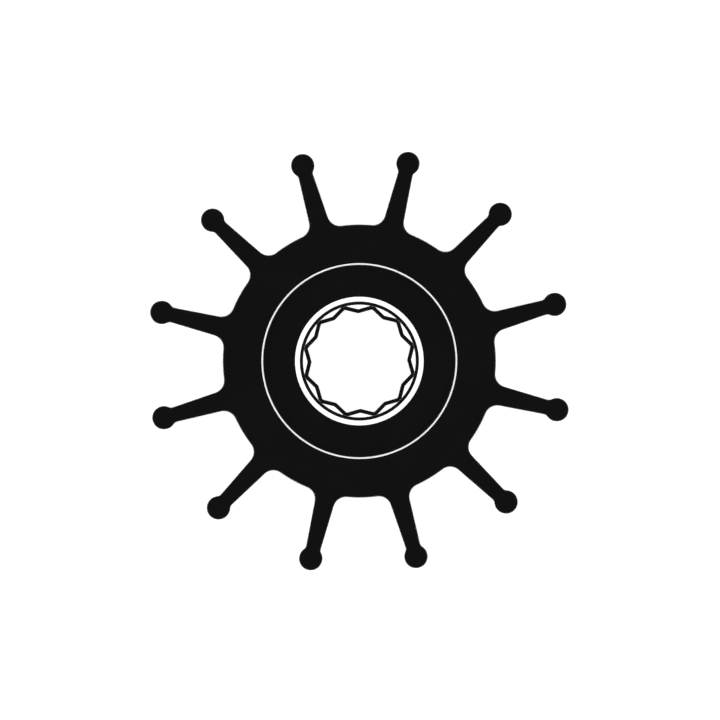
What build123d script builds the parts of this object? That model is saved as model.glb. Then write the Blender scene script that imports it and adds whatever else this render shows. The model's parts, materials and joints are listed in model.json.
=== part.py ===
"""Flexible vane impeller for a raw-water pump: a rubber moulding bonded round a metal drive sleeve.

Millimetres. The bore axis is Z, and the part stands on its lower end face at z = 0.
+X runs through the middle of a gap between two vanes.
"""

from build123d import *

import os
from math import cos, radians

# Impeller as a whole
WIDTH = 50.0
VANES = 12

# Vanes: a tapered blade with a round bead along its tip
TIP_DIAMETER = 65.0
BEAD_DIAMETER = 3.44
VANE_ROOT_THICKNESS = 3.0
VANE_NECK_THICKNESS = 2.0
VANE_ROOT_FILLET = 2.0
BEAD_NECK_FILLET = 0.8
VANE_LET_IN = 3.0

# Rubber hub
HUB_DIAMETER = 41.2

# Shallow recess in each end of the hub, round the sleeve
RECESS_DIAMETER = 29.0
RECESS_DEPTH = 0.6
RECESS_RIM_RADIUS = 0.35

# Metal drive sleeve, flush with the floor of both recesses
SLEEVE_DIAMETER = 19.5
MOUTH_DIAMETER = 17.1
MOUTH_DEPTH = 2.4
MOUTH_CHAMFER = 0.4
CHAMFER_DEPTH = 0.7

# Twelve-point spline: two hexagons, one turned by one point
SPLINE_POINTS = 12
SPLINE_ROOT_DIAMETER = 16.1
SPLINE_ROOT_RADIUS = 0.3
SPLINE_CREST_RADIUS = 0.6
SPLINE_LEAD_IN = 0.5

# Keying flutes on the sleeve's outside, which the rubber fills
FLUTE_RADIUS = 1.0
FLUTE_DEPTH = 0.6
END_LAND = 6.0

# How close a corner, edge or face lies to the size or height that it is picked by
PICK = 0.1

# Derived dimensions
HUB_RADIUS = HUB_DIAMETER / 2
BEAD_CIRCLE_RADIUS = (TIP_DIAMETER - BEAD_DIAMETER) / 2
BLADE_LENGTH = BEAD_CIRCLE_RADIUS - HUB_RADIUS
FIRST_VANE_ANGLE = 360 / VANES / 2
SLEEVE_TOP = WIDTH - RECESS_DEPTH
SLEEVE_LENGTH = SLEEVE_TOP - RECESS_DEPTH
FLUTE_LENGTH = SLEEVE_LENGTH - 2 * END_LAND
FLUTE_CIRCLE_RADIUS = SLEEVE_DIAMETER / 2 + FLUTE_RADIUS - FLUTE_DEPTH
SPLINE_PITCH = 360 / SPLINE_POINTS
SPLINE_CREST_DIAMETER = (
    SPLINE_ROOT_DIAMETER * cos(radians(SPLINE_PITCH)) / cos(radians(SPLINE_PITCH / 2))
)

# Planes on the two ends, each with its normal pointing out of the part
HUB_ENDS = (Plane.XY.offset(WIDTH), Plane.XY.rotated((180, 0, 0)))
SLEEVE_ENDS = (Plane.XY.offset(SLEEVE_TOP), Plane.XY.offset(RECESS_DEPTH).rotated((180, 0, 0)))

# Height of each flat ring in the sleeve, with the width of the chamfer round its hole
SLEEVE_CHAMFERS = {
    RECESS_DEPTH: MOUTH_CHAMFER,
    RECESS_DEPTH + MOUTH_DEPTH: SPLINE_LEAD_IN,
    SLEEVE_TOP - MOUTH_DEPTH: SPLINE_LEAD_IN,
    SLEEVE_TOP: MOUTH_CHAMFER,
}


def at_radius(corners, radius):
    """Those corners of a sketch that lie at this distance from the bore axis."""
    return corners.filter_by(lambda corner: abs(Vector(corner).length - radius) < PICK)


def vane_outline():
    """One blade along local +X, from inside the hub to the middle of its bead."""
    slope = (VANE_ROOT_THICKNESS - VANE_NECK_THICKNESS) / 2 / BLADE_LENGTH
    start = HUB_RADIUS - VANE_LET_IN
    start_half = VANE_ROOT_THICKNESS / 2 + slope * VANE_LET_IN
    neck_half = VANE_NECK_THICKNESS / 2
    return [
        (start, -start_half),
        (BEAD_CIRCLE_RADIUS, -neck_half),
        (BEAD_CIRCLE_RADIUS, neck_half),
        (start, start_half),
    ]


# The sleeve's outside, shared by the sleeve and by the rubber that is moulded on it
with BuildPart() as sleeve_blank:
    with BuildSketch(Plane.XY.offset(RECESS_DEPTH)):
        Circle(SLEEVE_DIAMETER / 2)
    extrude(amount=SLEEVE_LENGTH)
    with BuildSketch(Plane.XY.offset(RECESS_DEPTH + END_LAND)):
        with PolarLocations(FLUTE_CIRCLE_RADIUS, SPLINE_POINTS):
            Circle(FLUTE_RADIUS)
    extrude(amount=FLUTE_LENGTH, mode=Mode.SUBTRACT)

# Rubber moulding: hub and vanes in one piece
with BuildPart() as rubber_impeller:
    with BuildSketch() as outline:
        Circle(HUB_RADIUS)
        with PolarLocations(0, VANES, start_angle=FIRST_VANE_ANGLE):
            Polygon(*vane_outline(), align=None)
        fillet(at_radius(outline.vertices(), HUB_RADIUS), VANE_ROOT_FILLET)
        with PolarLocations(BEAD_CIRCLE_RADIUS, VANES, start_angle=FIRST_VANE_ANGLE):
            Circle(BEAD_DIAMETER / 2)
        blade_middle = HUB_RADIUS + BLADE_LENGTH / 2
        necks = outline.vertices().filter_by(
            lambda corner: blade_middle < Vector(corner).length < BEAD_CIRCLE_RADIUS
        )
        fillet(necks, BEAD_NECK_FILLET)
    extrude(amount=WIDTH)
    for end in HUB_ENDS:
        with BuildSketch(end):
            Circle(RECESS_DIAMETER / 2)
        extrude(amount=-RECESS_DEPTH, mode=Mode.SUBTRACT)
    circles = rubber_impeller.edges().filter_by(GeomType.CIRCLE)
    recess_circles = circles.filter_by(lambda e: abs(e.radius - RECESS_DIAMETER / 2) < PICK)
    lower_rim, *_, upper_rim = recess_circles.group_by(Axis.Z)
    fillet(lower_rim + upper_rim, RECESS_RIM_RADIUS)
    add(sleeve_blank.part, mode=Mode.SUBTRACT)
rubber_impeller.part.label = "rubber_impeller"

# Metal drive sleeve: counterbored mouths and a broached twelve-point spline between them
with BuildPart() as drive_sleeve:
    add(sleeve_blank.part)
    with BuildSketch() as spline:
        for turn in (0, SPLINE_PITCH):
            RegularPolygon(
                SPLINE_ROOT_DIAMETER / 2, SPLINE_POINTS // 2, rotation=FIRST_VANE_ANGLE + turn
            )
        fillet(at_radius(spline.vertices(), SPLINE_ROOT_DIAMETER / 2), SPLINE_ROOT_RADIUS)
        fillet(at_radius(spline.vertices(), SPLINE_CREST_DIAMETER / 2), SPLINE_CREST_RADIUS)
    extrude(amount=WIDTH, mode=Mode.SUBTRACT)
    for end in SLEEVE_ENDS:
        with BuildSketch(end):
            Circle(MOUTH_DIAMETER / 2)
        extrude(amount=-MOUTH_DEPTH, mode=Mode.SUBTRACT)
    for height, width in SLEEVE_CHAMFERS.items():
        rings = drive_sleeve.faces().filter_by(Axis.Z).filter_by(
            lambda face: abs(face.center().Z - height) < PICK and face.inner_wires()
        )
        hole = rings[0].inner_wires()[0]
        chamfer(hole.edges(), length=width, length2=CHAMFER_DEPTH, reference=rings[0])
drive_sleeve.part.label = "drive_sleeve"

os.makedirs("parts", exist_ok=True)
for piece in (rubber_impeller, drive_sleeve):
    export_step(piece.part, f"parts/{piece.part.label}.step")
    print(piece.part.label, piece.part.volume, piece.part.bounding_box())
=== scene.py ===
"""Looks of a flexible pump impeller: a black rubber moulding bonded round a pale steel sleeve."""

import json

import bmesh
import bpy
import numpy as np
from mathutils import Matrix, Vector


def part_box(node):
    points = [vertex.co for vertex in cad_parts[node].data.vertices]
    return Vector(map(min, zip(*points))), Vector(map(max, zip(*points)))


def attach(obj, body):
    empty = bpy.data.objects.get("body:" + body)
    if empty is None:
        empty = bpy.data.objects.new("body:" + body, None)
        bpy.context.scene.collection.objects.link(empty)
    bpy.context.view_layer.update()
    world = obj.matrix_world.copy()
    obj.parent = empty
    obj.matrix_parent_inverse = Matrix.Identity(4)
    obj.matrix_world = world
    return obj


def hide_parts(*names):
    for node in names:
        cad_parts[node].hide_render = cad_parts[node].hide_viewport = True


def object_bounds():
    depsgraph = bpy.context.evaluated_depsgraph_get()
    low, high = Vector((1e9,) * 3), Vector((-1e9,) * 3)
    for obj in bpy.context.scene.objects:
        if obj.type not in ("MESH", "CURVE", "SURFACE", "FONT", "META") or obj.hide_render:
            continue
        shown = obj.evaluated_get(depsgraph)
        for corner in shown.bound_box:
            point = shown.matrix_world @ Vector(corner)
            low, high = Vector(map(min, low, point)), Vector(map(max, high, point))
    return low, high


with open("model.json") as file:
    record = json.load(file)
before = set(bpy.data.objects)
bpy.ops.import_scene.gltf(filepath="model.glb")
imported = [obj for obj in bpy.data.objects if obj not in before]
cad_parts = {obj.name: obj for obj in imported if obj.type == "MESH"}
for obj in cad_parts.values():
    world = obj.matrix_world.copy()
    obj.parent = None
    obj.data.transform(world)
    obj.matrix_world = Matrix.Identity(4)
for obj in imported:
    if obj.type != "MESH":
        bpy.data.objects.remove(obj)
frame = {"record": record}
cad_low, cad_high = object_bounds()
mounts = {mount["name"]: mount for mount in frame["record"]["mounts"]}

# ---- Rubber moulding ---------------------------------------------------------------------------
# Hub and twelve vanes are one piece of black nitrile rubber, pressed hot round the steel sleeve.
# The halves of the mould met at mid height, which left a fine seam all round the outline, and the
# sleeve was held by a plug in each half, which left a shallow round recess in each end face.

MM = 0.001
VANES = 12
HUB_RADIUS = 20.6 * MM
BEAD_RADIUS = 1.72 * MM
ROOT_HALF = 1.5 * MM
NECK_HALF = 1.0 * MM
ROOT_FILLET = 2.0 * MM
NECK_FILLET = 0.8 * MM
EDGE_ROUND = 0.1 * MM
RECESS_RADIUS = 14.5 * MM
RIM_ROUND = 0.35 * MM
FLOOR_ROUND = 0.2 * MM
SEAM_HEIGHT = 0.06 * MM
SEAM_HALF = 0.22 * MM
FLUTES = 12
FLUTE_RADIUS = 1.0 * MM
FLUTE_DEPTH = 0.6 * MM
FLUTE_LAND = 6.0 * MM

# Points along each stretch of half a vane's outline, and where they lie across a vane's end
HUB_POINTS = 8
ROOT_POINTS = 12
FLANK_POINTS = 10
NECK_POINTS = 5
BEAD_POINTS = 25
RUNG_SHARES = np.array([0, 0.02, 0.35, 0.65, 0.98, 1])

# Points round each edge, how far beyond it one more row of points keeps the flat beside it flat,
# and how near two points have to lie to be merged where sheets meet
EDGE_POINTS = 6
RIM_POINTS = 9
SEAM_POINTS = 9
SUPPORT = 0.03 * MM
WELD = 0.0005 * MM

# The flat pattern: a square map on which each surface has a plot of its own, to bake the finish on
# to. The hub's strip lies lowest, the vanes' walls above it in a table of columns and rows, and
# the vanes' ends on top. Its measures are shares of its side.
FLAT_PATTERN = "OFBake"
HUB_TOP = 0.3
WALL_TOP = 0.9
WALL_TABLE = (3, 4)
BARE_BORDER = 0.003

# Ground finish: how deep it starts and ends to fade, below an end face and below a recess's floor
END_SKIN = np.array([0.02, 0.05]) * MM
FLOOR_SKIN = np.array([0.1, 0.15]) * MM
GROUND_ROUGHENS = 0.14
GRINDING_MARK = 0.5 * MM
GRINDING_STRETCH = (0.05, 1, 1)
GRINDING_DEPTH = 0.03 * MM

# Moulded finish, and the bloom that rubber sweats out
FRESH_BLACK = (0.002, 0.002, 0.0022, 1)
BLOOMED_BLACK = (0.0034, 0.0033, 0.0033, 1)
MOULDED_ROUGHNESS = 0.46
MOULDED_COAT = 0.3
GRAIN = 0.18 * MM
GRAIN_DEPTH = 0.03 * MM
DRAWN_MARK = 0.45 * MM
DRAWN_STRETCH = (1, 1, 0.02)
DRAWN_DEPTH = 0.025 * MM
BLOOM_PATCH = 9.0 * MM
BLOOM_RANGE = (0.35, 0.75)
BLOOM_ROUGHENS = 0.08
BLOOM_COAT = 0.2

# Rim of each recess: the radii of a pale line painted on it as a painted highlight, where its
# rounded edge catches the light, how deep it starts and ends to fade, and the least that the
# painted highlight covers in its dimmer patches
RIM_LINE = (14.57 * MM, 14.78 * MM)
RIM_LINE_SOFT = 0.02 * MM
RIM_SKIN = np.array([0.6, 0.9]) * RIM_ROUND
RIM_COVER = 0.85
PAINTED_RIM_HIGHLIGHT = (0.95, 0.94, 0.92, 1)
HIGHLIGHT_PATCH = 0.8 * MM
HIGHLIGHT_PATCH_RANGE = (0.25, 0.5)

width = cad_high.z
middle = width / 2
bead_circle = mounts["vane_tips"]["dims"]["r_mm"] * MM - BEAD_RADIUS
sleeve_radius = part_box("drive_sleeve")[1].x
sleeve_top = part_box("drive_sleeve")[1].z
recess_depth = width - sleeve_top
vane_turns = np.exp(1j * (np.arange(VANES) + 0.5) * 2 * np.pi / VANES)


def arc(centre, radius, start, end, count, hollow=False):
    """Complex points centre + radius * e^(i a), a from start to end, with their outward normals.

    On a hollow arc the rubber lies outside the circle, so the normals point at its centre.
    """
    turn = np.exp(1j * np.linspace(start, end, count))
    return centre + radius * turn, -turn if hollow else turn


def half_vane():
    """The outline from the middle of a gap to a vane's tip, the vane along the real axis.

    Hub arc, root fillet, straight flank, neck fillet and bead arc. A fillet's centre lies at its
    radius from the flank's line and at its radius from the circle it joins the flank to.
    Returns the points and their outward normals.
    """
    slope = (ROOT_HALF - NECK_HALF) / (bead_circle - HUB_RADIUS)
    facing = np.arctan2(1, slope)
    normal = np.exp(1j * facing)
    flank_offset = (np.conj(normal) * complex(HUB_RADIUS, ROOT_HALF)).real

    def fillet_centre(circle_centre, reach, radius, side):
        across = flank_offset + radius - (np.conj(normal) * circle_centre).real
        return circle_centre + reach * np.exp(1j * (facing + side * np.arccos(across / reach)))

    root = fillet_centre(0, HUB_RADIUS + ROOT_FILLET, ROOT_FILLET, -1)
    neck = fillet_centre(bead_circle, BEAD_RADIUS + NECK_FILLET, NECK_FILLET, 1)
    bead_start = np.angle(neck - bead_circle)
    flank = np.linspace(root - ROOT_FILLET * normal, neck - NECK_FILLET * normal, FLANK_POINTS)
    stretches = [
        arc(0, HUB_RADIUS, np.pi / VANES, np.angle(root), HUB_POINTS),
        arc(root, ROOT_FILLET, np.angle(root) + np.pi, facing + np.pi, ROOT_POINTS, hollow=True),
        (flank, np.full(FLANK_POINTS, normal)),
        arc(neck, NECK_FILLET, facing + np.pi, bead_start + np.pi, NECK_POINTS, hollow=True),
        arc(bead_circle, BEAD_RADIUS, bead_start, 0, BEAD_POINTS),
    ]
    repeated = np.cumsum([len(points) for points, _ in stretches[:-1]])
    return [np.delete(np.concatenate(part), repeated) for part in zip(*stretches)]


def plot(low, high, number=0, columns=1, rows=1):
    """Left, right, foot and head of one plot on the flat pattern.

    It is that number in a table of equal plots, which fills the pattern between two heights.
    """
    row, column = divmod(number, columns)
    left, wide = column / columns, 1 / columns
    tall = (high - low) / rows
    foot = low + row * tall
    edges = np.array([left, left + wide, foot, foot + tall])
    return edges + BARE_BORDER * np.array([1, -1, 1, -1])


def cells(grid):
    """The four corners of each cell of a grid, in order round the cell."""
    around = [grid[:-1, :-1], grid[:-1, 1:], grid[1:, 1:], grid[1:, :-1]]
    return np.stack(around, axis=2).reshape(-1, 4, *grid.shape[2:])


def sheet(plan, height, where, closed=False):
    """Vertices and quads of a grid, and where the quads' corners lie on the flat pattern.

    plan holds complex plan points and height holds heights, both rows x columns, and where is the
    plot. There, a column is as wide as its faces on average. A row is as tall as the square root
    of its faces' average, which gives thin lines more than their share.
    """
    points = np.stack(np.broadcast_arrays(plan.real, plan.imag, height), axis=-1)
    index = np.arange(points.size // 3).reshape(points.shape[:2])
    if closed:
        index = np.hstack([index, index[:, :1]])
    points = points.reshape(-1, 3)
    wide, tall = (np.linalg.norm(np.diff(points[index], axis=axis), axis=2) for axis in (1, 0))
    steps = wide.mean(axis=0), np.sqrt(tall.mean(axis=1))
    across, up = (np.cumsum([0, *step]) / step.sum() for step in steps)
    left, right, foot, head = where
    laid = np.meshgrid(left + (right - left) * across, foot + (head - foot) * up)
    return points, cells(index), cells(np.stack(laid, axis=-1))


def closed_piece(name, sheets, masks=None):
    """One closed, smooth mesh from sheets whose borders meet, with its faces turned outwards.

    masks gives each named attribute's number from 0 to 1 at every point.
    """
    points, quads, laid = zip(*sheets)
    starts = np.cumsum([0] + [len(part) for part in points])
    quads = np.concatenate([part + start for part, start in zip(quads, starts)])
    mesh = bpy.data.meshes.new(name)
    mesh.from_pydata(np.concatenate(points), [], quads.tolist())
    mesh.uv_layers.new(name=FLAT_PATTERN).uv.foreach_set("vector", np.concatenate(laid).ravel())
    for mask, values in (masks or {}).items():
        mesh.attributes.new(mask, "FLOAT", "POINT").data.foreach_set("value", values)
    work = bmesh.new()
    work.from_mesh(mesh)
    bmesh.ops.remove_doubles(work, verts=work.verts, dist=WELD)
    bmesh.ops.recalc_face_normals(work, faces=work.faces)
    work.to_mesh(mesh)
    work.free()
    mesh.polygons.foreach_set("use_smooth", np.ones(len(mesh.polygons), bool))
    piece = bpy.data.objects.new(name, mesh)
    bpy.context.scene.collection.objects.link(piece)
    return piece


def bond_radius(angle):
    """Radius of the bond face, rubber to steel: a circle with round flutes let into it.

    A flute is a circle whose centre lies FLUTE_DEPTH short of its radius outside the bond face.
    """
    centre = sleeve_radius + FLUTE_RADIUS - FLUTE_DEPTH
    pitch = 2 * np.pi / FLUTES
    from_flute = angle - pitch * np.round(angle / pitch)
    under_root = FLUTE_RADIUS**2 - (centre * np.sin(from_flute)) ** 2
    bottom = centre * np.cos(from_flute) - np.sqrt(np.maximum(under_root, 0))
    return np.where(under_root > 0, np.minimum(bottom, sleeve_radius), sleeve_radius)


def recess_profile():
    """Radius and height from the end face, over the recess's rim and floor, to the sleeve.

    The rim is a quarter circle, and so is the corner of the floor.
    """
    rim = np.linspace(np.pi / 2, np.pi, RIM_POINTS)
    floor = np.linspace(0, -np.pi / 2, EDGE_POINTS)
    edge = RECESS_RADIUS + RIM_ROUND
    foot = RECESS_RADIUS - FLOOR_ROUND
    radius = np.concatenate([
        [edge + SUPPORT],
        edge + RIM_ROUND * np.cos(rim),
        foot + FLOOR_ROUND * np.cos(floor),
        [foot - SUPPORT, sleeve_radius + SUPPORT],
    ])
    height = np.concatenate([
        [width],
        width - RIM_ROUND + RIM_ROUND * np.sin(rim),
        sleeve_top + FLOOR_ROUND + FLOOR_ROUND * np.sin(floor),
        [sleeve_top, sleeve_top],
    ])
    return radius, height


def flank_profile():
    """Inset and height down the outline's wall: rounded edges, and a raised seam at mid height.

    An edge is a quarter circle, and the seam is one wave of a cosine.
    """
    quarter = np.linspace(np.pi / 2, 0, EDGE_POINTS)
    across = np.linspace(1, -1, SEAM_POINTS)
    edge_inset = EDGE_ROUND * (1 - np.cos(quarter))
    edge_height = width - EDGE_ROUND * (1 - np.sin(quarter))
    seam_inset = -SEAM_HEIGHT * (1 + np.cos(np.pi * across)) / 2
    straight = np.array([width - EDGE_ROUND - SUPPORT, middle + SEAM_HALF + SUPPORT])
    flush = np.zeros(len(straight))
    inset = np.concatenate([edge_inset, flush, seam_inset, flush, edge_inset[::-1]])
    height = np.concatenate([
        edge_height,
        straight,
        middle + SEAM_HALF * across,
        width - straight[::-1],
        width - edge_height[::-1],
    ])
    return inset[:, None], height[:, None]


def rubber_moulding():
    """Wall, end faces, recesses and bond face of the rubber, as one closed mesh.

    The wall carries the outline down the flank profile. Each vane's ends are rungs from flank to
    flank, the lowest of them between the root fillets' ends. The hub's ends, recesses and bond
    face are one sheet of circles, whose first and last rows follow the outline and those rungs.
    """
    points, normals = half_vane()
    outline = np.concatenate([np.conj(points), points[-2::-1]])
    facing = np.concatenate([np.conj(normals), normals[-2::-1]])
    inset, wall_height = flank_profile()
    wall = outline - inset * facing

    border = points - EDGE_ROUND * normals
    lowest = HUB_POINTS + ROOT_POINTS - 2
    blade = border[lowest:, None]
    rungs = np.conj(blade) * (1 - RUNG_SHARES) + blade * RUNG_SHARES
    vanes = []
    for number, turn in enumerate(vane_turns):
        where = plot(HUB_TOP, WALL_TOP, number, *WALL_TABLE)
        vanes.append(sheet(wall * turn, wall_height, where))
        for end, height in enumerate((0, width)):
            where = plot(WALL_TOP, 1, 2 * number + end, 2 * VANES)
            vanes.append(sheet(rungs * turn, height, where))

    chain = np.concatenate([np.conj(border[: lowest + 1]), rungs[0, 1:-1], border[lowest:0:-1]])
    chain = (vane_turns[:, None] * chain).reshape(-1)
    angle = np.angle(chain)
    profile, level = recess_profile()
    end_rows = [np.abs(chain), np.abs(chain) - SUPPORT]
    end_rows += [np.full(len(chain), radius) for radius in profile]
    plain = np.full(len(chain), sleeve_radius)
    fluted = bond_radius(angle)
    land = FLUTE_LAND + recess_depth
    bond_rows = [plain, plain, fluted, fluted, plain, plain]
    bond_levels = [sleeve_top, width - land, width - land, land, land, recess_depth]
    end_levels = np.concatenate([[width, width], level])
    radii = np.array([*end_rows, *bond_rows, *reversed(end_rows)])
    levels = np.concatenate([end_levels, bond_levels, width - end_levels[::-1]])
    where = plot(0, HUB_TOP)
    hub = sheet(radii * np.exp(1j * angle), levels[:, None], where, closed=True)
    return closed_piece("rubber_moulding", [hub, *vanes])


class Shade:
    """A socket in a material's node tree. Arithmetic on it adds Math nodes."""

    def __init__(self, tree, socket=None):
        self.tree = tree
        self.socket = socket

    def node(self, kind, settings=None, inputs=None, output=0):
        """Adds a node of this kind: its settings first, then its sockets' values or links."""
        added = self.tree.nodes.new(kind)
        for name, value in (settings or {}).items():
            setattr(added, name, value)
        for name, value in (inputs or {}).items():
            if isinstance(value, Shade):
                self.tree.links.new(value.socket, added.inputs[name])
            else:
                added.inputs[name].default_value = value
        return Shade(self.tree, added.outputs[output] if added.outputs else None)

    def math(self, operation, *others):
        operands = dict(enumerate((self, *others)))
        return self.node("ShaderNodeMath", {"operation": operation}, operands)

    def __add__(self, other):
        return self.math("ADD", other)

    def __mul__(self, other):
        return self.math("MULTIPLY", other)

    def __sub__(self, other):
        return self.math("SUBTRACT", other)

    def __rsub__(self, other):
        return self * -1 + other

    def __pow__(self, other):
        return self.math("POWER", other)

    def __abs__(self):
        return self.math("ABSOLUTE")

    __radd__ = __add__
    __rmul__ = __mul__

    def rises(self, low, high):
        """Smoothly 0 below low and 1 above high."""
        return self.node(
            "ShaderNodeMapRange",
            {"interpolation_type": "SMOOTHSTEP"},
            {"Value": self, "From Min": low, "From Max": high},
        )

    def within(self, low, high, soft):
        """1 between low and high, and smoothly 0 further out than soft."""
        return self.rises(low - soft, low) * (1 - self.rises(high, high + soft))

    def blend(self, first, second):
        """The colour first where this is 0, and second where it is 1.

        A Mix node has sockets of the same names for numbers, so its colours' go by their places.
        """
        inputs = {"Factor": self, 6: first, 7: second}
        return self.node("ShaderNodeMix", {"data_type": "RGBA"}, inputs, output=2)


def new_material(name):
    """An empty material, its Object coordinates, distance from the bore's axis and height."""
    material = bpy.data.materials.new(name)
    material.use_nodes = True
    material.node_tree.nodes.clear()
    place = Shade(material.node_tree).node("ShaderNodeTexCoord", output="Object")
    parts = {"Vector": place}
    x, y, z = (place.node("ShaderNodeSeparateXYZ", inputs=parts, output=axis) for axis in "XYZ")
    return material, place, (x * x + y * y) ** 0.5, z


def noise(place, grain, detail=2, stretch=(1, 1, 1)):
    """Noise from 0 to 1 with grains of this size, stretched along the axes."""
    mapped = place.node("ShaderNodeMapping", inputs={"Vector": place, "Scale": stretch})
    return place.node(
        "ShaderNodeTexNoise", inputs={"Vector": mapped, "Scale": 1 / grain, "Detail": detail}
    )


def finish_with(material, place, fixed, changing, bumps=()):
    """Ends the material in a Principled shader: fixed sockets, changing sockets and bumps."""
    for height, depth in bumps:
        inputs = {"Height": height, "Distance": depth}
        if "Normal" in changing:
            inputs["Normal"] = changing["Normal"]
        changing = {**changing, "Normal": place.node("ShaderNodeBump", inputs=inputs)}
    shader = place.node("ShaderNodeBsdfPrincipled", inputs={**fixed, **changing})
    place.node("ShaderNodeOutputMaterial", inputs={"Surface": shader})
    return material


def moulded_rubber():
    """Near-black rubber, with a faint bloom in patches.

    The end faces and the recesses' floors are ground, and duller than the moulded flanks, which
    have streaks from being drawn out of the mould. On the rim of each recess a pale line is a
    painted highlight, where the rounded rim catches the light.
    """
    material, place, radius, z = new_material("moulded_rubber")
    from_end = middle - abs(z - middle)
    at_end = 1 - from_end.rises(*END_SKIN)
    above_floor = 1 - from_end.rises(*(recess_depth + FLOOR_SKIN))
    in_recess = above_floor * (1 - radius.rises(RECESS_RADIUS - FLOOR_ROUND, RECESS_RADIUS))
    ground = at_end + in_recess - at_end * in_recess
    on_rim = 1 - from_end.rises(*RIM_SKIN)
    rim = radius.within(*RIM_LINE, RIM_LINE_SOFT) * on_rim
    bloom = noise(place, BLOOM_PATCH, detail=4).rises(*BLOOM_RANGE)
    highlight_patches = noise(place, HIGHLIGHT_PATCH, detail=4).rises(*HIGHLIGHT_PATCH_RANGE)
    grain = noise(place, GRAIN, detail=3)
    grinding = noise(place, GRINDING_MARK, detail=3, stretch=GRINDING_STRETCH)
    drawn = noise(place, DRAWN_MARK, detail=3, stretch=DRAWN_STRETCH)
    black = bloom.blend(FRESH_BLACK, BLOOMED_BLACK)
    # The pale line is a painted highlight on the rim, where its rounded edge catches the light
    painted_highlight = rim * (RIM_COVER + highlight_patches * (1 - RIM_COVER))
    return finish_with(
        material,
        place,
        {"Specular IOR Level": 0.12, "Coat Roughness": 0.4},
        {
            "Base Color": painted_highlight.blend(black, PAINTED_RIM_HIGHLIGHT),
            "Roughness": MOULDED_ROUGHNESS + bloom * BLOOM_ROUGHENS + ground * GROUND_ROUGHENS,
            "Coat Weight": (1 - ground) * (MOULDED_COAT + bloom * BLOOM_COAT),
        },
        [
            (grain, GRAIN_DEPTH),
            (grinding * ground, GRINDING_DEPTH),
            (drawn * (1 - ground), DRAWN_DEPTH),
        ],
    )


moulding = rubber_moulding()
moulding.data.materials.append(moulded_rubber())
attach(moulding, "root")
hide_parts("rubber_impeller")

# ---- Drive sleeve ------------------------------------------------------------------------------
# Pale stainless steel, turned and faced on a lathe. A broach cut the twelve-point spline, and each
# end is counterbored, so that the ends of the spline's teeth lie inside the mouth. The rubber is
# bonded to its fluted outside. A thin band of black painted shade lies on the chamfers and a
# little past them, for the dark lines that those edges show.

MOUTH_RADIUS = mounts["mouth_top"]["dims"]["r_mm"] * MM
MOUTH_DEPTH = 2.4 * MM
MOUTH_CHAMFER = 0.4 * MM
CHAMFER_DEPTH = 0.7 * MM
SPLINE_POINTS = 12
SPLINE_ROOT = mounts["spline"]["dims"]["r_mm"] * MM
SPLINE_LEAD_IN = 0.5 * MM
ROOT_ROUND = 0.3 * MM
CREST_ROUND = 0.6 * MM
STEEL_EDGE = 0.04 * MM

# How far the painted shade runs past each chamfer: on the end face, on the mouth's floor and tooth
# ends, and along a wall. It ends over the length that follows them, and THIN is the least between
# two rows.
SHADE_ON_FACE = 0.06 * MM
SHADE_ON_FLOOR = 0.03 * MM
SHADE_ON_TEETH = 0.1 * MM
SHADE_ON_WALL = 0.06 * MM
SHADE_FADE = 0.01 * MM
THIN = 0.002 * MM

# Faces round the axis, and points on each softened corner. Beyond its curve, one more row on each
# side keeps the flats straight, at HOLD times its reach. No curve reaches further than NEAR_HALF
# of the way to the next corner.
FACES = 720
CORNER_POINTS = 4
HOLD = 1.2
NEAR_HALF = 0.4

# Finish: bright steel with faint smears, and the black of the painted shade on the chamfers
BRIGHT_STEEL = (0.88, 0.87, 0.85, 1)
STEEL_ROUGHNESS = 0.18
DULL_STEEL = (0.82, 0.81, 0.78, 1)
SMEAR_PATCH = 3.0 * MM
SMEAR_RANGE = (0.3, 0.7)
SMEAR_ROUGHENS = 0.05
PAINTED_SHADE_BLACK = (0.006, 0.006, 0.006, 1)
SHADE_ROUGHENS = 0.4

# Turned rings: how deep they start and end to fade below an end face, from how far above a mouth's
# floor to how far below it they lie, their pitch, and how far round they waver
FACE_SKIN = np.array([0.004, 0.014]) * MM
MOUTH_FLOOR_SKIN = np.array([-0.03, 0.004]) * MM
MOUTH_FLOOR_SOFT = 0.01 * MM
TURNED_PITCH = 0.22 * MM
TURNED_DEPTH = 0.0012 * MM
WAVER_PATCH = 2.5 * MM
WAVER_TURN = 3.0

# Broach lines down the bore
BROACH_MARK = 0.12 * MM
BROACH_STRETCH = (1, 1, 0.012)
BROACH_DEPTH = 0.015 * MM


def spline_radius(angle, moved_out=0.0):
    """Distance from the axis to the spline: the further out of two hexagons, 30 degrees apart.

    moved_out shifts every flat and every round away from the axis, square to the surface. Corners
    of the hexagons, and the crests where they cross, are arcs that touch both flats, and their
    centres stay where they are: the roots' arcs grow and the crests' shrink.
    """
    pitch = 2 * np.pi / SPLINE_POINTS
    inradius = SPLINE_ROOT * np.cos(pitch)
    from_root = angle - pitch / 2
    from_root -= pitch * np.round(from_root / pitch)
    from_crest = pitch / 2 - np.abs(from_root)
    flat = (inradius + moved_out) / np.cos(pitch - np.abs(from_root))

    root_round = ROOT_ROUND + moved_out
    centre = (inradius - ROOT_ROUND) / np.cos(pitch)
    under_root = root_round**2 - (centre * np.sin(from_root)) ** 2
    root = centre * np.cos(from_root) + np.sqrt(np.maximum(under_root, 0))
    root_end = np.angle(centre + root_round * np.exp(1j * pitch))

    crest_round = CREST_ROUND - moved_out
    centre = (inradius + CREST_ROUND) / np.cos(pitch / 2)
    under_root = crest_round**2 - (centre * np.sin(from_crest)) ** 2
    crest = centre * np.cos(from_crest) - np.sqrt(np.maximum(under_root, 0))
    crest_end = -np.angle(centre - crest_round * np.exp(1j * pitch / 2))

    shape = np.where(np.abs(from_root) < root_end, root, flat)
    return np.where(from_crest < crest_end, crest, shape)


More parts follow.
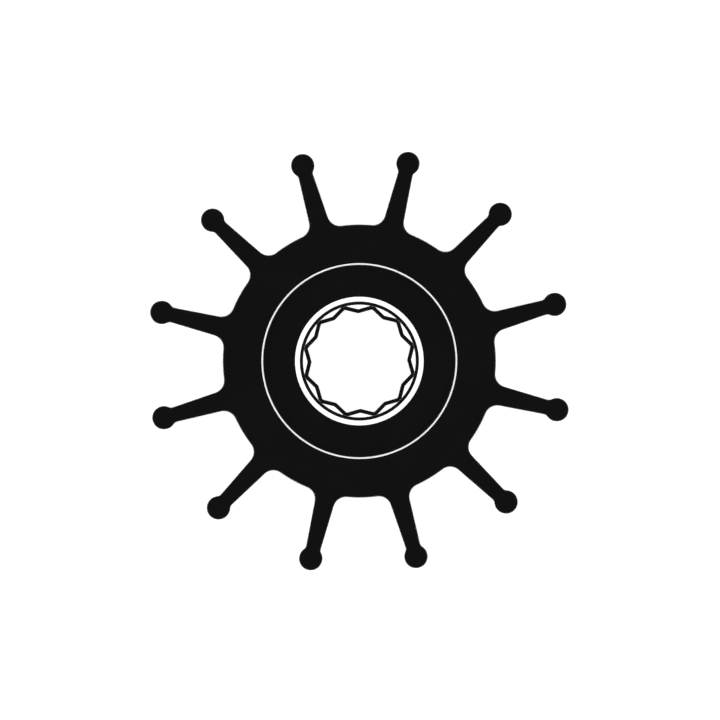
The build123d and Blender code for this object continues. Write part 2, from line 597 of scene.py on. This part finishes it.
def softened(radius, height, reach):
    """A closed profile, one column an angle, whose corners become small curves.

    Each corner is a quadratic curve from its reach before it to its reach after it, pulled to the
    corner, with one more point beyond each end. Where the next corner is near, the curve ends
    before half way to it. A row that lies on a straight run has no reach and keeps its place.
    """
    corner = np.stack([radius, np.broadcast_to(height[:, None], radius.shape)])
    before, after = (np.roll(corner, step, axis=1) - corner for step in (1, -1))
    before *= np.minimum(reach[:, None] / np.maximum(np.hypot(*before), THIN), NEAR_HALF)
    after *= np.minimum(reach[:, None] / np.maximum(np.hypot(*after), THIN), NEAR_HALF)
    t = np.linspace(0, 1, CORNER_POINTS)
    pull_back = np.array([HOLD, *(1 - t) ** 2, 0])[:, None]
    pull_on = pull_back[::-1]
    curve = corner[:, :, None] + before[:, :, None] * pull_back + after[:, :, None] * pull_on
    return curve.reshape(2, -1, radius.shape[1])


def steel_sleeve():
    """The sleeve as one closed sheet: a profile of radius and height carried round the axis.

    A row of the profile is a radius, a height, 1 where the painted shade covers it and 1 where it
    is a corner. The rows that are no corner lie on straight runs, where the painted shade starts
    or stops.
    """
    angle = np.linspace(0, 2 * np.pi, FACES, endpoint=False)
    spline = spline_radius(angle)
    lead_in = spline_radius(angle, SPLINE_LEAD_IN)
    land = sleeve_top - FLUTE_LAND
    chamfer_edge = MOUTH_RADIUS + MOUTH_CHAMFER
    chamfer_end = sleeve_top - CHAMFER_DEPTH
    mouth_floor = sleeve_top - MOUTH_DEPTH
    lead_in_end = mouth_floor - CHAMFER_DEPTH
    floor_edge = MOUTH_RADIUS - SHADE_ON_FLOOR
    bare_edge = floor_edge - SHADE_FADE
    bare_tooth = np.minimum(lead_in + SHADE_ON_TEETH + SHADE_FADE, bare_edge - THIN)
    shaded_tooth = np.minimum(lead_in + SHADE_ON_TEETH, bare_tooth - THIN)
    upper = [
        (bond_radius(angle), land, 0, 1),
        (sleeve_radius, land, 0, 1),
        (sleeve_radius, sleeve_top, 0, 1),
        (chamfer_edge + SHADE_ON_FACE + SHADE_FADE, sleeve_top, 0, 0),
        (chamfer_edge + SHADE_ON_FACE, sleeve_top, 1, 0),
        (chamfer_edge, sleeve_top, 1, 1),
        (MOUTH_RADIUS, chamfer_end, 1, 1),
        (MOUTH_RADIUS, chamfer_end - SHADE_ON_WALL, 1, 0),
        (MOUTH_RADIUS, chamfer_end - SHADE_ON_WALL - SHADE_FADE, 0, 0),
        (MOUTH_RADIUS, mouth_floor + SHADE_ON_WALL + SHADE_FADE, 0, 0),
        (MOUTH_RADIUS, mouth_floor + SHADE_ON_WALL, 1, 0),
        (MOUTH_RADIUS, mouth_floor, 1, 1),
        (floor_edge, mouth_floor, 1, 0),
        (bare_edge, mouth_floor, 0, 0),
        (bare_tooth, mouth_floor, 0, 0),
        (shaded_tooth, mouth_floor, 1, 0),
        (lead_in, mouth_floor, 1, 1),
        (spline, lead_in_end, 1, 1),
        (spline, lead_in_end - SHADE_ON_WALL, 1, 0),
        (spline, lead_in_end - SHADE_ON_WALL - SHADE_FADE, 0, 0),
    ]
    lower = [(radius, width - height, *marks) for radius, height, *marks in reversed(upper)]
    radii, heights, painted_shades, corners = zip(*upper, *lower)
    radii = np.array([np.broadcast_to(radius, FACES) for radius in radii])
    radius, height = softened(radii, np.array(heights), STEEL_EDGE * np.array(corners))
    painted_shade = np.repeat(painted_shades, len(radius) // len(painted_shades)).astype(float)
    radius, height, painted_shade = (np.concatenate([rows, rows[:1]]) for rows in (radius, height, painted_shade))
    sleeve_sheet = sheet(radius * np.exp(1j * angle), height, plot(0, 1), closed=True)
    return closed_piece("steel_sleeve", [sleeve_sheet], {"painted_shade": np.repeat(painted_shade, FACES)})


def machined_steel():
    """Bright steel: turned rings on flats, broach lines in the bore, painted shade on the
    chamfers.
    """
    material, place, radius, z = new_material("machined_steel")
    from_end = (sleeve_top - middle) - abs(z - middle)
    at_end = 1 - from_end.rises(*FACE_SKIN)
    on_floor = from_end.within(*(MOUTH_DEPTH + MOUTH_FLOOR_SKIN), MOUTH_FLOOR_SOFT)
    flat = at_end + on_floor
    painted_shade = place.node("ShaderNodeAttribute", {"attribute_name": "painted_shade"}, output="Fac")
    waver = noise(place, WAVER_PATCH) * WAVER_TURN
    turned = (radius * (2 * np.pi / TURNED_PITCH) + waver).math("SINE")
    broached = noise(place, BROACH_MARK, detail=3, stretch=BROACH_STRETCH)
    smear = noise(place, SMEAR_PATCH, detail=4).rises(*SMEAR_RANGE)
    return finish_with(
        material,
        place,
        {"Specular IOR Level": 0.1},
        {
            # Black is painted shade on the chamfers and a little past them; elsewhere the steel is
            # bright
            "Base Color": painted_shade.blend(smear.blend(DULL_STEEL, BRIGHT_STEEL), PAINTED_SHADE_BLACK),
            "Metallic": 1 - painted_shade,
            "Roughness": STEEL_ROUGHNESS + smear * SMEAR_ROUGHENS + painted_shade * SHADE_ROUGHENS,
        },
        [(turned * flat, TURNED_DEPTH), (broached * (1 - flat) * (1 - painted_shade), BROACH_DEPTH)],
    )


sleeve = steel_sleeve()
sleeve.data.materials.append(machined_steel())
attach(sleeve, "root")
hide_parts("drive_sleeve")

# ---- Table, light and camera -------------------------------------------------------------------
# The impeller stands on a white, softly glowing table under a small high lamp, with a panel
# overhead and four low gridded bars that put the highlights on the flanks. The studio's walls are
# white and its ceiling dark. The camera looks straight down the bore.

TABLE_SIZE = 6.0
TABLE_WHITE = (0.86, 0.86, 0.86, 1)
TABLE_GLOW = 0.5

# Panels' powers are in watts, and each low bar's goes with its bearing in degrees
OVERHEAD_HEIGHT = 0.9
OVERHEAD_SIZE = (0.5, 0.5)
OVERHEAD_POWER = 1.1
BAR_DISTANCE = 0.28
BAR_HEIGHT = 0.024
BAR_SIZE = (0.12, 0.044)
BAR_GRID_DEGREES = 50
BAR_POWERS = {10: 0.126, 100: 0.07, 190: 0.105, 280: 0.056}
LAMP_STRENGTH = 2.2
LAMP_WIDTH_DEGREES = 1.5

# The studio, and how far up the walls start and end to darken to the ceiling's grey
WALL_WHITE = (1.05, 1.05, 1.05, 1)
CEILING_GREY = (0.06, 0.06, 0.065, 1)
CEILING_FADE = (0.12, 0.75)

# The view's frame, and where the impeller lies in it
FRAME_PIXELS = 720
TIP_CIRCLE_PIXELS = 429.8
CENTRE_PIXEL = (359.35, 361.05)
ROLL_DEGREES = -1.17
CAMERA_HEIGHT = 0.5


def white_table():
    """A flat square under the object, of white laminate that glows a little of itself."""
    half = TABLE_SIZE / 2
    corners = half * np.array([[-1 - 1j, 1 - 1j], [-1 + 1j, 1 + 1j]])
    points, quads, _ = sheet(corners, 0, plot(0, 1))
    mesh = bpy.data.meshes.new("table")
    mesh.from_pydata(points, [], quads.tolist())
    table = bpy.data.objects.new("table", mesh)
    bpy.context.scene.collection.objects.link(table)
    material, place, _, _ = new_material("white_laminate")
    fixed = {
        "Base Color": TABLE_WHITE,
        "Roughness": 0.7,
        "Specular IOR Level": 0.1,
        "Emission Strength": TABLE_GLOW,
    }
    mesh.materials.append(finish_with(material, place, fixed, {}))
    return table


def add_light(name, kind, settings, place, target):
    """A lamp with these settings at a place, facing the target and hidden from the camera."""
    light = bpy.data.lights.new(name, kind)
    for setting, value in settings.items():
        setattr(light, setting, value)
    lamp = bpy.data.objects.new(name, light)
    lamp.location = place
    lamp.rotation_euler = (Vector(target) - Vector(place)).to_track_quat("-Z", "Y").to_euler()
    lamp.visible_camera = False
    bpy.context.scene.collection.objects.link(lamp)
    return lamp


def panel(size, power, grid_degrees=180):
    """Settings of a soft panel, width by height, whose grid narrows its beam to these degrees."""
    return {
        "shape": "RECTANGLE",
        "size": size[0],
        "size_y": size[1],
        "energy": power,
        "spread": np.radians(grid_degrees),
    }


white_table()
overhead = panel(OVERHEAD_SIZE, OVERHEAD_POWER)
add_light("overhead", "AREA", overhead, (0, 0, OVERHEAD_HEIGHT), (0, 0, middle))
for bearing, power in BAR_POWERS.items():
    foot = BAR_DISTANCE * np.exp(1j * np.radians(bearing))
    bar = panel(BAR_SIZE, power, BAR_GRID_DEGREES)
    stand = (foot.real, foot.imag, BAR_HEIGHT)
    add_light(f"low_bar_{bearing}", "AREA", bar, stand, (0, 0, BAR_HEIGHT))
lamp_settings = {"energy": LAMP_STRENGTH, "angle": np.radians(LAMP_WIDTH_DEGREES)}
high_lamp = add_light("high_lamp", "SUN", lamp_settings, (0, 0, OVERHEAD_HEIGHT), (0, 0, 0))
high_lamp.visible_glossy = False

world = bpy.data.worlds.new("studio")
world.use_nodes = True
world.node_tree.nodes.clear()
direction = Shade(world.node_tree).node("ShaderNodeTexCoord")
up = direction.node("ShaderNodeSeparateXYZ", inputs={"Vector": direction}, output="Z")
studio = up.rises(*CEILING_FADE).blend(WALL_WHITE, CEILING_GREY)
backdrop = direction.node("ShaderNodeBackground", inputs={"Color": studio})
direction.node("ShaderNodeOutputWorld", inputs={"Surface": backdrop})
bpy.context.scene.world = world

pixel = 2 * (bead_circle + BEAD_RADIUS) / TIP_CIRCLE_PIXELS
right, down = CENTRE_PIXEL
aside = complex(FRAME_PIXELS / 2 - right, down - FRAME_PIXELS / 2) * pixel
aside *= np.exp(1j * np.radians(ROLL_DEGREES))
camera_data = bpy.data.cameras.new("camera")
camera_data.type = "ORTHO"
camera_data.ortho_scale = FRAME_PIXELS * pixel
camera = bpy.data.objects.new("camera", camera_data)
camera.location = (aside.real, aside.imag, CAMERA_HEIGHT)
camera.rotation_euler = (0, 0, np.radians(ROLL_DEGREES))
bpy.context.scene.collection.objects.link(camera)
bpy.context.scene.camera = camera
bpy.context.scene.view_settings.view_transform = "Standard"
